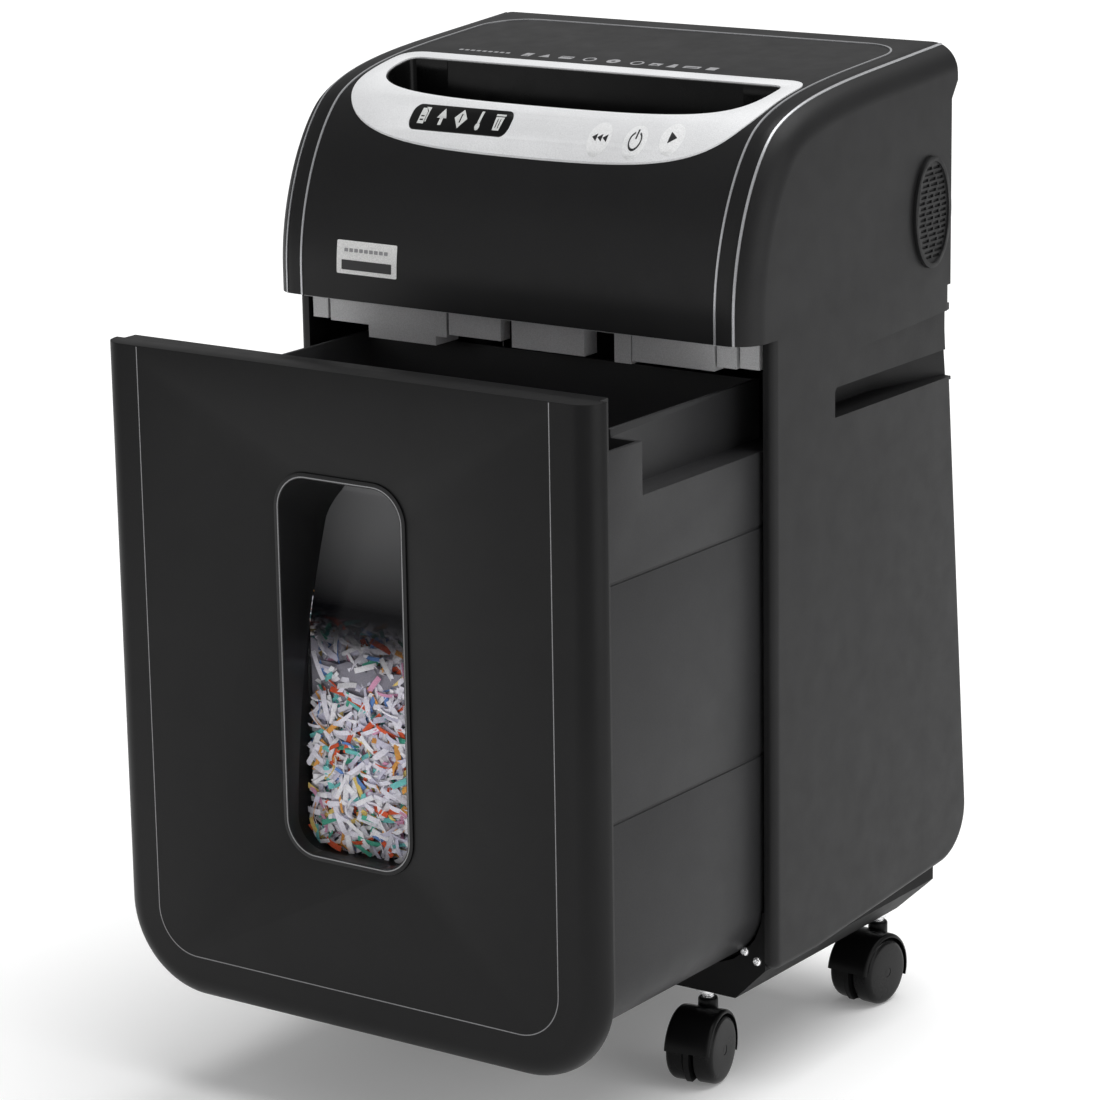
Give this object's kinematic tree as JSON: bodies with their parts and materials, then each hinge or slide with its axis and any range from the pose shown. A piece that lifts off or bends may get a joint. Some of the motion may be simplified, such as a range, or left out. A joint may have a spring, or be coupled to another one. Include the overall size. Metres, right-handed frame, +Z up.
{
  "type": "paper shredder",
  "caption": "Pedestal paper shredder on casters: silver feed fascia on a curved black head, cabinet with side grips and a windowed bin that slides out of the front.",
  "frame": {"origin": "on the floor under the middle of the bounding box, with the bin standing open", "axes": "+Z up, -Y the front, where the bin slides out, +X to the right as seen from the front"},
  "size_m": [0.365, 0.4326, 0.6315],
  "materials": {
    "head_black": "satin black moulding",
    "side_black": "fine-grained black moulding",
    "cabinet_black": "matt black moulding",
    "bin_black": "matt black moulding",
    "frame_grey": "matt grey moulding",
    "runner_grey": "smooth grey slide strip",
    "silver_trim": "satin silver paint",
    "silver_fascia": "satin silver paint",
    "indicator_black": "gloss black lens",
    "window_clear": "clear plastic pane",
    "gland_rubber": "black rubber",
    "board_green": "circuit board with solder mask",
    "gear_steel": "machined steel",
    "gearbox_black": "filled nylon housing",
    "caster_steel": "bright plated steel",
    "caster_black": "black nylon",
    "wheel_black": "smooth black nylon"
  },
  "bodies": {
    "cabinet": {"base_tray": "cabinet_black", "side_panel_right": "side_black", "side_panel_left": "side_black", "back_panel": "cabinet_black", "bin_runner_right": "runner_grey", "bin_runner_left": "runner_grey", "head_cover": "head_black", "head_rim": "head_black", "cover_trim": "silver_trim", "side_trim_right": "silver_trim", "side_trim_left": "silver_trim", "control_fascia": "silver_fascia", "indicator_window": "indicator_black", "paper_funnel": "head_black", "head_underframe": "frame_grey", "vent_grille_right": "side_black", "vent_grille_left": "side_black", "cord_gland": "gland_rubber", "switch_frame": "cabinet_black", "control_board": "board_green", "bin_sensor": "cabinet_black", "cutter_plate_right": "gear_steel", "cutter_plate_left": "gear_steel", "stripper_comb_front": "gear_steel", "stripper_comb_rear": "gear_steel", "motor": "gear_steel", "gearbox": "gearbox_black"},
    "bin": {"bin_tub": "bin_black", "bin_front_panel": "head_black", "window_frame": "head_black", "window_pane": "window_clear"},
    "front_cutter": {"cutter_front": "gear_steel", "timing_gear_front": "gear_steel"},
    "rear_cutter": {"cutter_rear": "gear_steel", "timing_gear_rear": "gear_steel", "drive_gear": "gear_steel"},
    "idler": {"idler_gear": "gear_steel"},
    "motor_rotor": {"motor_pinion": "gear_steel"},
    "power_rocker": {"power_rocker": "head_black"},
    "caster_front_left": {"caster_stem_front_left": "caster_steel", "caster_hood_front_left": "caster_black", "caster_axle_front_left": "caster_steel"},
    "wheel_a_front_left": {"caster_wheel_a_front_left": "wheel_black"},
    "wheel_b_front_left": {"caster_wheel_b_front_left": "wheel_black"},
    "caster_front_right": {"caster_stem_front_right": "caster_steel", "caster_hood_front_right": "caster_black", "caster_axle_front_right": "caster_steel"},
    "wheel_a_front_right": {"caster_wheel_a_front_right": "wheel_black"},
    "wheel_b_front_right": {"caster_wheel_b_front_right": "wheel_black"},
    "caster_rear_left": {"caster_stem_rear_left": "caster_steel", "caster_hood_rear_left": "caster_black", "caster_axle_rear_left": "caster_steel"},
    "wheel_a_rear_left": {"caster_wheel_a_rear_left": "wheel_black"},
    "wheel_b_rear_left": {"caster_wheel_b_rear_left": "wheel_black"},
    "caster_rear_right": {"caster_stem_rear_right": "caster_steel", "caster_hood_rear_right": "caster_black", "caster_axle_rear_right": "caster_steel"},
    "wheel_a_rear_right": {"caster_wheel_a_rear_right": "wheel_black"},
    "wheel_b_rear_right": {"caster_wheel_b_rear_right": "wheel_black"}
  },
  "joints": [
    {"name": "bin_slide", "type": "slide", "parent": "cabinet", "child": "bin", "axis": [0, -1, 0], "range_m": [-0.166, 0.05]},
    {"name": "rear_cutter_spin", "type": "hinge", "parent": "cabinet", "child": "rear_cutter", "pos_m": [0, 0.068, 0.5485], "axis": [1, 0, 0], "continuous": true},
    {"name": "front_cutter_spin", "type": "hinge", "parent": "cabinet", "child": "front_cutter", "pos_m": [0, 0.028, 0.5485], "axis": [1, 0, 0], "continuous": true},
    {"name": "idler_spin", "type": "hinge", "parent": "cabinet", "child": "idler", "pos_m": [0, 0.12282, 0.5241], "axis": [1, 0, 0], "continuous": true},
    {"name": "motor_spin", "type": "hinge", "parent": "cabinet", "child": "motor_rotor", "pos_m": [0, 0.15277, 0.54666], "axis": [1, 0, 0], "continuous": true},
    {"name": "power_rocker_tilt", "type": "hinge", "parent": "cabinet", "child": "power_rocker", "pos_m": [-0.144, 0.187, 0.5095], "axis": [1, 0, 0], "range_deg": [-18, 0]},
    {"name": "caster_swivel_front_left", "type": "hinge", "parent": "cabinet", "child": "caster_front_left", "pos_m": [-0.123, -0.012, 0], "axis": [0, 0, 1], "continuous": true},
    {"name": "wheel_a_spin_front_left", "type": "hinge", "parent": "caster_front_left", "child": "wheel_a_front_left", "pos_m": [-0.12508, -0.02381, 0.022], "axis": [0.9848, -0.1736, 0], "continuous": true},
    {"name": "wheel_b_spin_front_left", "type": "hinge", "parent": "caster_front_left", "child": "wheel_b_front_left", "pos_m": [-0.12508, -0.02381, 0.022], "axis": [0.9848, -0.1736, 0], "continuous": true},
    {"name": "caster_swivel_front_right", "type": "hinge", "parent": "cabinet", "child": "caster_front_right", "pos_m": [0.123, -0.012, 0], "axis": [0, 0, 1], "continuous": true},
    {"name": "wheel_a_spin_front_right", "type": "hinge", "parent": "caster_front_right", "child": "wheel_a_front_right", "pos_m": [0.12508, -0.02381, 0.022], "axis": [0.9848, 0.1736, 0], "continuous": true},
    {"name": "wheel_b_spin_front_right", "type": "hinge", "parent": "caster_front_right", "child": "wheel_b_front_right", "pos_m": [0.12508, -0.02381, 0.022], "axis": [0.9848, 0.1736, 0], "continuous": true},
    {"name": "caster_swivel_rear_left", "type": "hinge", "parent": "cabinet", "child": "caster_rear_left", "pos_m": [-0.141, 0.167, 0], "axis": [0, 0, 1], "continuous": true},
    {"name": "wheel_a_spin_rear_left", "type": "hinge", "parent": "caster_rear_left", "child": "wheel_a_rear_left", "pos_m": [-0.14016, 0.15503, 0.022], "axis": [0.9976, 0.0698, 0], "continuous": true},
    {"name": "wheel_b_spin_rear_left", "type": "hinge", "parent": "caster_rear_left", "child": "wheel_b_rear_left", "pos_m": [-0.14016, 0.15503, 0.022], "axis": [0.9976, 0.0698, 0], "continuous": true},
    {"name": "caster_swivel_rear_right", "type": "hinge", "parent": "cabinet", "child": "caster_rear_right", "pos_m": [0.141, 0.167, 0], "axis": [0, 0, 1], "continuous": true},
    {"name": "wheel_a_spin_rear_right", "type": "hinge", "parent": "caster_rear_right", "child": "wheel_a_rear_right", "pos_m": [0.14016, 0.15503, 0.022], "axis": [0.9976, -0.0698, 0], "continuous": true},
    {"name": "wheel_b_spin_rear_right", "type": "hinge", "parent": "caster_rear_right", "child": "wheel_b_rear_right", "pos_m": [0.14016, 0.15503, 0.022], "axis": [0.9976, -0.0698, 0], "continuous": true}
  ],
  "couplings": [
    {"joint": "front_cutter_spin", "follows": "rear_cutter_spin", "ratio": -1},
    {"joint": "idler_spin", "follows": "rear_cutter_spin", "ratio": -1.4},
    {"joint": "motor_spin", "follows": "rear_cutter_spin", "ratio": 2.8}
  ]
}
